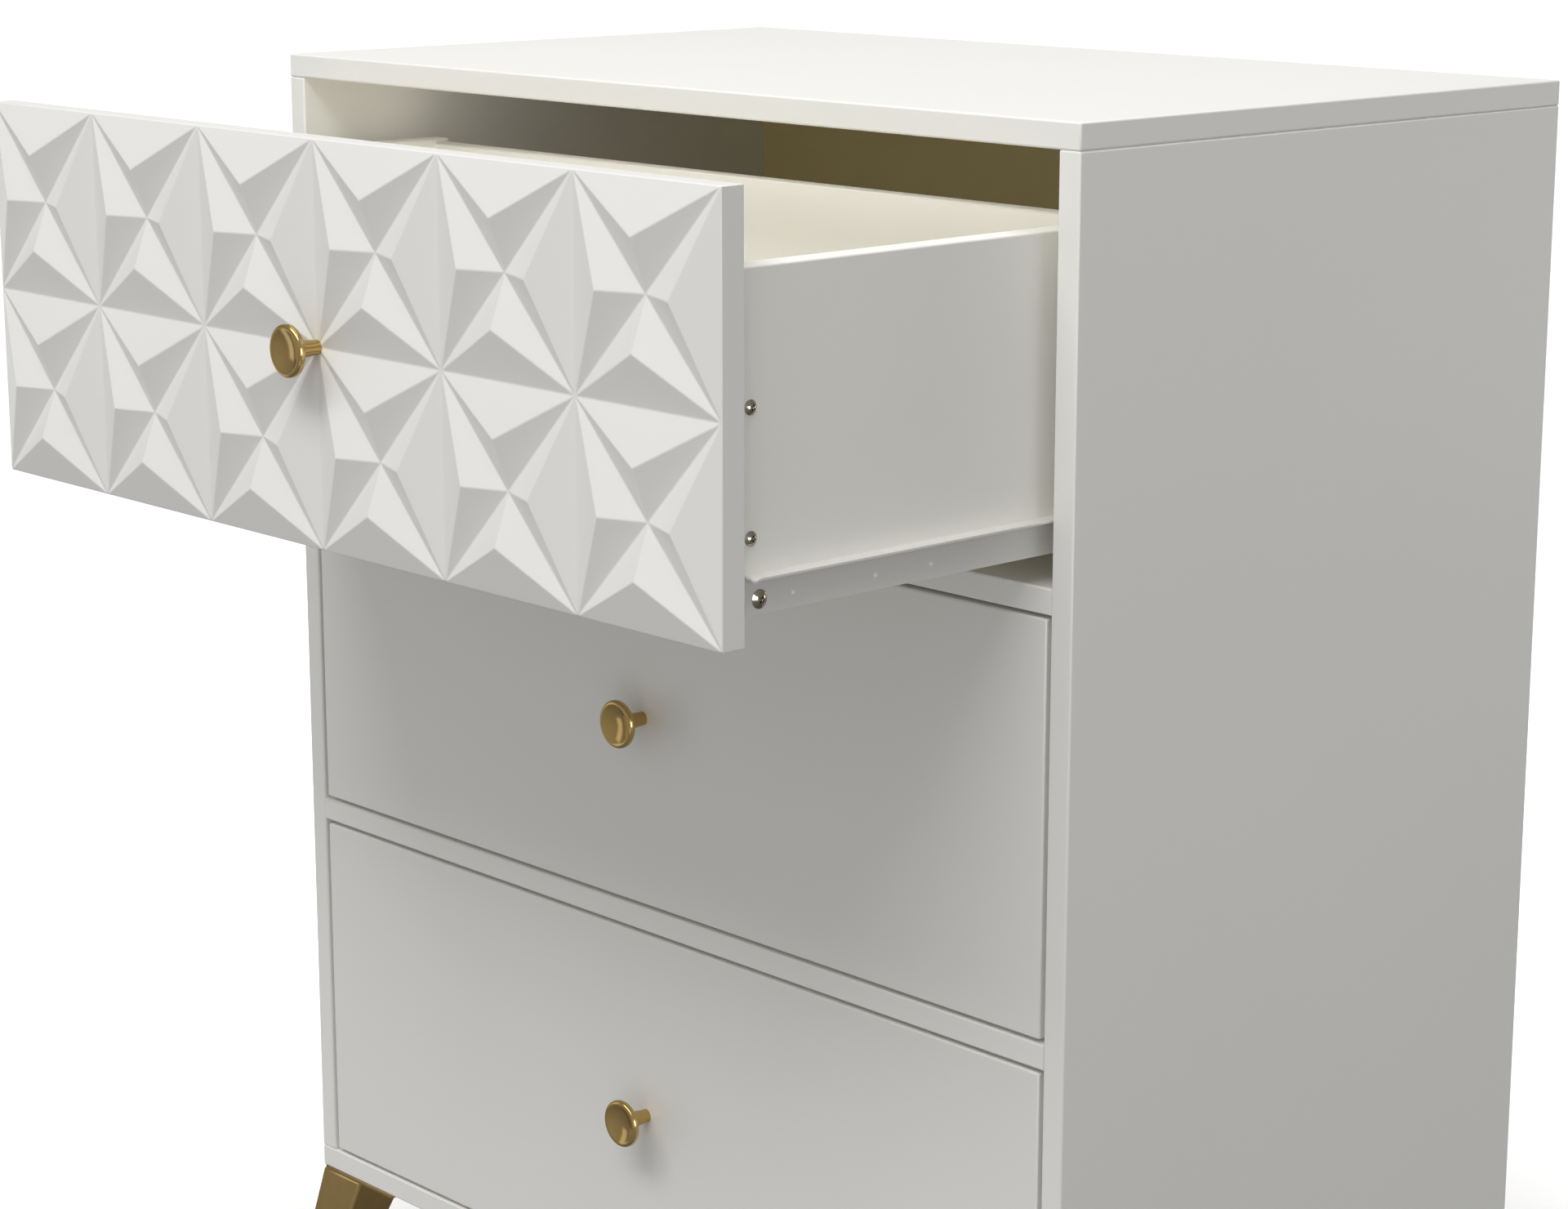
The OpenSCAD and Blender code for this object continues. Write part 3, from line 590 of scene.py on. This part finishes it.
for level in LEVELS:
    for part in ("inner_front", "back"):
        board(f"{level}_{part}", FOIL, BOARD_EASE, X_AXIS)
    for part in ("left_side", "right_side"):
        board(f"{level}_{part}", FOIL, BOARD_EASE)
    board(f"{level}_bottom", DRAWER_BASE, SHEET_EASE)
    if level != "upper":
        board(f"{level}_front", LACQUER, BOARD_EASE)


def facet_cell(width, height):
    """One cell of the relief: each of its four triangles carries a three-sided pyramid.
    The peak is halfway between the cell's middle and the middle of its edge."""
    bm = bmesh.new()
    half = Vector((width / 2, 0, height / 2))
    ring = [Vector((x * half.x, 0, z * half.z)) for x, z in ((-1, 1), (1, 1), (1, -1), (-1, -1))]
    corners = [bm.verts.new(p) for p in ring]
    middle = bm.verts.new((0, 0, 0))
    for k in range(4):
        a, b = corners[k], corners[(k + 1) % 4]
        foot = (ring[k] + ring[(k + 1) % 4]) / 4
        peak = bm.verts.new((foot.x, -FACET_RISE * MM, foot.z))
        for p, q in ((a, b), (b, middle), (middle, a)):
            bm.faces.new((q, p, peak))
    return plain_mesh("facet_cell", bm)


def cell_grid_tree():
    """A tree that lays a grid of cells, edge to edge."""
    tree, given = geometry_tree("facet_grid", {
        "Cell": "Object", "Width": "Float", "Height": "Float",
        "Columns": "Int", "Rows": "Int", "Finish": "Material"})
    spans = []
    for size, count in (("Width", "Columns"), ("Height", "Rows")):
        one = add(tree, "ShaderNodeMath", {0: given[size], 1: given[count]}, operation="DIVIDE")
        span = add(tree, "ShaderNodeMath", {0: given[size], 1: one.outputs["Value"]}, operation="SUBTRACT")
        spans.append(span.outputs["Value"])
    grid = add(tree, "GeometryNodeMeshGrid", {"Size X": spans[0], "Size Y": spans[1],
                                              "Vertices X": given["Columns"], "Vertices Y": given["Rows"]})
    stood = add(tree, "GeometryNodeTransform", {"Geometry": grid.outputs["Mesh"],
                                                "Rotation": (math.pi / 2, 0, 0)})
    strew(tree, stood.outputs["Geometry"], given["Cell"], given["Finish"])
    return tree


def faceted_front(node):
    """The upper drawer front: a grid of cells closed into a slab, its creases just off sharp."""
    low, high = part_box(node)
    width, height = high.x - low.x, high.z - low.z
    cell = add_object("cell", facet_cell(width / FACET_COLS, height / FACET_ROWS))
    face = grown(cell_grid_tree(), bpy.data.meshes.new("seed"), {
        "Cell": cell, "Width": width, "Height": height,
        "Columns": FACET_COLS, "Rows": FACET_ROWS, "Finish": LACQUER})
    bpy.data.objects.remove(cell)
    bm = bmesh.new()
    bm.from_mesh(face)
    bmesh.ops.remove_doubles(bm, verts=bm.verts, dist=CELL_MERGE * MM)
    middle = Vector(((low.x + high.x) / 2, low.y + FACET_RISE * MM, (low.z + high.z) / 2))
    bmesh.ops.translate(bm, vec=middle, verts=bm.verts)
    rim = [e for e in bm.edges if e.is_boundary]
    walls = bmesh.ops.extrude_edge_only(bm, edges=rim)["geom"]
    far = [g for g in walls if isinstance(g, bmesh.types.BMVert)]
    for vert in far:
        vert.co.y = high.y
    bmesh.ops.contextual_create(bm, geom=[e for e in bm.edges if e.is_boundary])
    bmesh.ops.recalc_face_normals(bm, faces=bm.faces)
    bmesh.ops.dissolve_limit(bm, angle_limit=math.radians(CELL_FLAT), verts=bm.verts, edges=bm.edges)
    creases = [e for e in bm.edges if e.is_manifold and e.calc_face_angle() > math.radians(CELL_CREASE)]
    ease(bm, creases, CREASE_EASE, segments=2)
    piece(node + "_facets", to_mesh(node, bm), LACQUER, [node])


faceted_front("upper_front")


def knob_outline():
    """Radius and height of the knob: waisted stem, flared back, rounded rim, lip and dish."""
    stem, neck, head, edge = KNOB_STEM_D / 2, KNOB_NECK_D / 2, KNOB_D / 2, KNOB_EDGE
    back = KNOB_LEN - KNOB_RIM
    waist = KNOB_WAIST * back
    dish = head - edge - KNOB_LIP
    ball = (dish ** 2 + KNOB_DISH ** 2) / (2 * KNOB_DISH)
    line = [(0, 0), (stem, 0)]
    line += [(stem + (neck - stem) * t ** 2, waist * t) for t in shares(steps=10)[1:]]
    for t in shares(steps=12)[1:]:
        a = math.pi / 2 * t
        line.append((neck + (head - edge - neck) * (1 - math.cos(a)), waist + (back - waist) * math.sin(a)))
    for start, height in ((0, back + edge), (90, KNOB_LEN - edge)):
        for t in shares(steps=6)[1:]:
            a = math.radians(start + 90 * t)
            line.append((head - edge + edge * math.sin(a), height - edge * math.cos(a)))
    for t in shares(steps=12):
        r = dish * (1 - t)
        line.append((r, KNOB_LEN - KNOB_DISH + ball - math.sqrt(ball ** 2 - r ** 2)))
    return line


for level in LEVELS:
    low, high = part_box(f"{level}_knob")
    middle = Vector(((low.x + high.x) / 2, high.y, (low.z + high.z) / 2))
    spot = Matrix.Translation(middle) @ Matrix.Rotation(math.pi / 2, 4, "X")
    mesh = to_mesh(f"{level}_knob", turned(knob_outline(), KNOB_STEPS, spot))
    sharpen(mesh, KNOB_SHARP)
    rings = mesh.attributes.new("from_axis", "FLOAT", "POINT")
    for vert in mesh.vertices:
        rings.data[vert.index].value = math.hypot(vert.co.x - middle.x, vert.co.z - middle.z)
    piece(f"{level}_knob_turned", mesh, KNOB_BRASS, [f"{level}_knob"])


# Legs

def leg(name, hand, depth):
    """A square leg that tapers and splays outwards, under its screw plate."""
    node = name + "_leg"
    low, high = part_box(node)
    top = high.z - PLATE_T * MM
    outer_x, plate_x = (high.x, low.x + PLATE_W * MM) if hand > 0 else (low.x, high.x - PLATE_W * MM)
    outer_y, plate_y = (high.y, low.y + PLATE_W * MM) if depth > 0 else (low.y, high.y - PLATE_W * MM)
    bm = bmesh.new()
    ends = []
    squares = ((plate_x, plate_y, top + PLATE_T * MM / 2, LEG_TOP_W), (outer_x, outer_y, low.z, LEG_FOOT_W))
    for x, y, z, width in squares:
        xs = (x, x - hand * width * MM)
        ys = (y, y - depth * width * MM)
        ends.append([bm.verts.new((xs[i], ys[j], z)) for i, j in ((0, 0), (1, 0), (1, 1), (0, 1))])
    for i in range(4):
        j = (i + 1) % 4
        bm.faces.new((ends[0][i], ends[0][j], ends[1][j], ends[1][i]))
    for end in ends:
        bm.faces.new(end)
    bmesh.ops.recalc_face_normals(bm, faces=bm.faces)
    ease(bm, bm.edges[:], LEG_EASE, segments=4)
    plate = bmesh.new()
    wide = sorted((plate_x, plate_x - hand * PLATE_W * MM))
    deep = sorted((plate_y, plate_y - depth * PLATE_W * MM))
    block(plate, (wide[0], deep[0], top), (wide[1], deep[1], high.z))
    ease(plate, [e for e in plate.edges if runs(e, Z_AXIS)], PLATE_CORNER, segments=4)
    rims = [e for e in plate.edges if not runs(e, Z_AXIS) and e.calc_face_angle() > EDGE_TURN]
    ease(plate, rims, PLATE_EASE, segments=2)
    bm.from_mesh(plain_mesh("plate", plate))
    piece(node + "_brass", to_mesh(node, bm), LEG_BRASS, [node])


for name, hand, depth in CORNERS:
    leg(name, hand, depth)
cad_copy("leg_glides", GLIDE)


# Slides, rollers and fittings

def web_dots(level):
    """The small heads along the webs of a drawer's two slides, in a white brighter than the web's coat: a
    painted glint on real raised heads.
    """
    bm = bmesh.new()
    runners = [f"{level}_{hand}_drawer_slide" for hand in HANDS]
    for runner, sign in zip(runners, SIGNS):
        low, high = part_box(runner)
        web = (low.x + WEB_IN * MM) if sign > 0 else (high.x - WEB_IN * MM)
        for along in DOTS_ALONG:
            spot = Matrix.Translation((web, low.y + along * MM, low.z + DOT_UP * MM))
            squash = Matrix.Diagonal((DOT_H * MM, DOT_D / 2 * MM, DOT_D / 2 * MM, 1))
            bmesh.ops.create_uvsphere(bm, u_segments=16, v_segments=8, radius=1, matrix=spot @ squash)
    mesh = to_mesh(f"{level}_web_dots", bm)
    mesh.shade_smooth()
    piece(f"{level}_web_dots_coated", mesh, DOT_WHITE_AND_GLINT, runners)


for level in LEVELS:
    for hand in HANDS:
        cad_copy(f"{level}_{hand}_cabinet_slide", COATED, SLIDE_EASE)
        cad_copy(f"{level}_{hand}_drawer_slide", COATED, SLIDE_EASE, SLIDE_EDGE_LEAST)
    web_dots(level)
    cad_copy(f"{level}_cabinet_rollers", NYLON)
    cad_copy(f"{level}_drawer_rollers", NYLON)
cad_copy("carcass_cams", ZINC, proud=FITTING_PROUD)
cad_copy("carcass_screws", ZINC, proud=FITTING_PROUD)
cad_copy("carcass_dowels", BEECH)


# Screws

def screw_mesh(head_d, head_h, length):
    """A pan-head screw pointing down from z = 0, with a cross recess and a pointed tip."""
    ball = (head_d ** 2 / 4 + head_h ** 2) / (2 * head_h)
    radii = [head_d / 2 * (1 - t) for t in shares(steps=6)]
    dome = [(r, head_h - ball + math.sqrt(ball ** 2 - r ** 2)) for r in radii]
    dome[0] = (head_d / 2, HEAD_RIM)
    shank = SHANK_D / 2
    line = [(0, -length), (shank, -length + TIP * shank), (shank, 0), (head_d / 2, 0)] + dome
    head = add_object("head", to_mesh("head", turned(line, SCREW_STEPS, Matrix.Identity(4))))
    cut = bmesh.new()
    slot_w, slot_l, slot_h = CROSS_W * head_d, CROSS_L * head_d, CROSS_DEPTH * head_h
    for x, y in ((slot_l, slot_w), (slot_w, slot_l)):
        low = (-x / 2 * MM, -y / 2 * MM, (head_h - slot_h) * MM)
        high = (x / 2 * MM, y / 2 * MM, (head_h + CROSS_ABOVE) * MM)
        for vert in block(cut, low, high):
            if vert.co.z < head_h * MM:
                vert.co.x *= CROSS_TAPER
                vert.co.y *= CROSS_TAPER
    cross = add_object("cross", to_mesh("cross", cut))
    carve = head.modifiers.new("cross", "BOOLEAN")
    carve.operation = "DIFFERENCE"
    carve.solver = "EXACT"
    carve.use_self = True
    carve.object = cross
    mesh = applied(head)
    bpy.data.objects.remove(cross)
    sharpen(mesh, SCREW_SHARP)
    return mesh


def screw_row_tree():
    """A tree that puts one screw on each point, turned as the point says."""
    tree, given = geometry_tree("screw_row", {
        "Geometry": "Geometry", "Screw": "Object", "Finish": "Material"})
    turn = add(tree, "GeometryNodeInputNamedAttribute", {"Name": "turn"}, data_type="FLOAT_VECTOR")
    way = add(tree, "FunctionNodeEulerToRotation", {"Euler": turn.outputs["Attribute"]})
    strew(tree, given["Geometry"], given["Screw"], given["Finish"], Rotation=way.outputs["Rotation"])
    return tree


SCREW_ROW = screw_row_tree()


def screws(kinds):
    """One mesh of several kinds of screw. Each kind is a head, a length and places with directions."""
    bm = bmesh.new()
    for head, length, places in kinds:
        base = bpy.data.meshes.new("places")
        base.from_pydata([Vector(at) * MM for at, way in places], [], [])
        turns = base.attributes.new("turn", "FLOAT_VECTOR", "POINT")
        for i, (at, way) in enumerate(places):
            spin = Matrix.Rotation(SPIN_FIRST + SPIN_STEP * i, 3, "Z")
            turns.data[i].vector = (Vector(way).to_track_quat("Z", "Y").to_matrix() @ spin).to_euler()
        screw = add_object("screw", screw_mesh(*head, length))
        bm.from_mesh(grown(SCREW_ROW, base, {"Screw": screw, "Finish": NICKEL}))
        bpy.data.objects.remove(screw)
    return plain_mesh("screws", bm)


def corners_of(node):
    """A CAD node's lowest and highest corner in millimetres."""
    low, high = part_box(node)
    return low / MM, high / MM


for level in LEVELS:
    side_low, side_high = corners_of(f"{level}_right_side")
    inner_high = corners_of(f"{level}_inner_front")[1]
    knob_low, knob_high = corners_of(f"{level}_knob")
    ends = (side_low.y + CORNER_FRONT_IN, side_high.y - CORNER_REAR_IN)
    corner_spots = [((sign * side_high.x, y, side_low.z + up), (sign, 0, 0))
                    for sign in SIGNS for y in ends for up in CORNER_UPS]
    slide_x, slide_y = side_high.x + SLIDE_T, side_low.y + SLIDE_START
    slide_spots = [((sign * slide_x, slide_y + along, side_low.z + SLIDE_UP), (sign, 0, 0))
                   for sign in SIGNS for along in SLIDE_ALONGS]
    front_spots = [((sign * (inner_high.x - FRONT_IN), inner_high.y, side_low.z + up), (0, 1, 0))
                   for sign in SIGNS for up in FRONT_UPS]
    knob_spot = [((0, inner_high.y, (knob_low.z + knob_high.z) / 2), (0, 1, 0))]
    mesh = screws([(CORNER_HEAD, CORNER_SCREW, corner_spots), (SLIDE_HEAD, SLIDE_SCREW, slide_spots),
                   (CORNER_HEAD, FRONT_SCREW, front_spots), (CORNER_HEAD, KNOB_SCREW, knob_spot)])
    piece(f"{level}_drawer_screws_plated", mesh, NICKEL, [f"{level}_drawer_screws"])

plate_spots = []
for name, hand, depth in CORNERS:
    low, high = corners_of(name + "_leg")
    x = (low.x + PLATE_W) if hand > 0 else (high.x - PLATE_W)
    y = (low.y + PLATE_W) if depth > 0 else (high.y - PLATE_W)
    near, far = PLATE_SCREW_EDGE, PLATE_W - PLATE_SCREW_EDGE
    plate_spots += [((x - hand * a, y - depth * b, high.z - PLATE_T), (0, 0, -1))
                    for a, b in ((far, near), (far, far), (near, far))]
mesh = screws([(CORNER_HEAD, PLATE_SCREW, plate_spots)])
piece("leg_screws_plated", mesh, NICKEL, ["leg_screws"])

cabinet_spots = []
for level in LEVELS:
    low, high = corners_of(f"{level}_right_cabinet_slide")
    cabinet_spots += [((sign * (high.x - SLIDE_T), low.y + along, (low.z + high.z) / 2), (-sign, 0, 0))
                      for sign in SIGNS for along in CABINET_ALONGS]
mesh = screws([(CABINET_HEAD, CABINET_SCREW, cabinet_spots)])
piece("cabinet_slide_screws_plated", mesh, NICKEL, ["cabinet_slide_screws"])


# Stage: pale floor, soft light and the camera

def floor_paint():
    """Matt studio floor: near white, with a barely visible cloudiness, glowing away from the chest."""
    made, tree, shader, place = surface("pale_studio_floor", {
        "Roughness": 0.9, "Specular IOR Level": 0.1, "Emission Color": WHITE})
    cloud = add(tree, "ShaderNodeTexNoise", {"Vector": place, "Scale": per_mm(900), "Detail": 2})
    two_tones(tree, shader, cloud.outputs["Fac"], "#F3F3F2", "#F5F5F4")
    away = add(tree, "ShaderNodeVectorMath", {0: place}, operation="LENGTH").outputs["Value"]
    glow = add(tree, "ShaderNodeMapRange", {
        "Value": away, "From Min": GLOW_FROM, "From Max": GLOW_TO, "To Max": GLOW})
    tree.links.new(glow.outputs["Result"], shader.inputs["Emission Strength"])
    return made


def floor_outline():
    """Radius and height of a floor that bends up into a round wall, so every side stands before white."""
    bend = [math.pi / 2 * t for t in shares(steps=8)]
    curve = [(WALL_R - WALL_BEND * (1 - math.sin(a)), WALL_BEND * (1 - math.cos(a))) for a in bend]
    return [(0, 0)] + curve + [(WALL_R, WALL_H)]


floor = add_object("floor", to_mesh("floor", turned(floor_outline(), FLOOR_STEPS, Matrix.Identity(4))))
floor.data.materials.append(floor_paint())
floor.visible_diffuse = False
floor.visible_glossy = False
floor.visible_shadow = False


def studio_sky():
    """White surroundings, brighter towards the front right, where the room's light comes from."""
    made = bpy.data.worlds.new("studio")
    made.use_nodes = True
    tree = made.node_tree
    way = add(tree, "ShaderNodeTexCoord").outputs["Generated"]
    towards = add(tree, "ShaderNodeVectorMath", {0: way, 1: BRIGHT_SIDE}, operation="DOT_PRODUCT")
    level = add(tree, "ShaderNodeMapRange", {
        "Value": towards.outputs["Value"], "From Min": -1, "To Min": SKY_DIM, "To Max": SKY_BRIGHT})
    background = tree.nodes["Background"].inputs
    background["Color"].default_value = WHITE
    tree.links.new(level.outputs["Result"], background["Strength"])
    return made


bpy.context.scene.world = studio_sky()
bpy.context.scene.cycles.diffuse_bounces = 8


def softbox(name, place, aim, width, depth, watts):
    """A soft light of a width and depth at a place, turned to a point."""
    lamp = bpy.data.lights.new(name, "AREA")
    lamp.shape = "RECTANGLE"
    lamp.size = width
    lamp.size_y = depth
    lamp.energy = watts
    made = add_object(name, lamp)
    made.location = place
    made.rotation_euler = (Vector(aim) - Vector(place)).to_track_quat("-Z", "Y").to_euler()
    made.visible_camera = False
    made.visible_diffuse = name not in MIRRORED_ONLY


for name, values in SOFTBOXES.items():
    softbox(name, *values)

camera = bpy.data.cameras.new("camera")
camera.lens = LENS
camera.sensor_width = SENSOR_W
camera.clip_end = FAR
eye = add_object("camera", camera)
yaw, down = math.radians(LOOK_YAW), math.radians(LOOK_DOWN)
gaze = Vector((-math.sin(yaw) * math.cos(down), math.cos(yaw) * math.cos(down), -math.sin(down)))
eye.location = EYE
eye.rotation_euler = gaze.to_track_quat("-Z", "Y").to_euler()
bpy.context.scene.camera = eye
bpy.context.scene.view_settings.view_transform = "Standard"
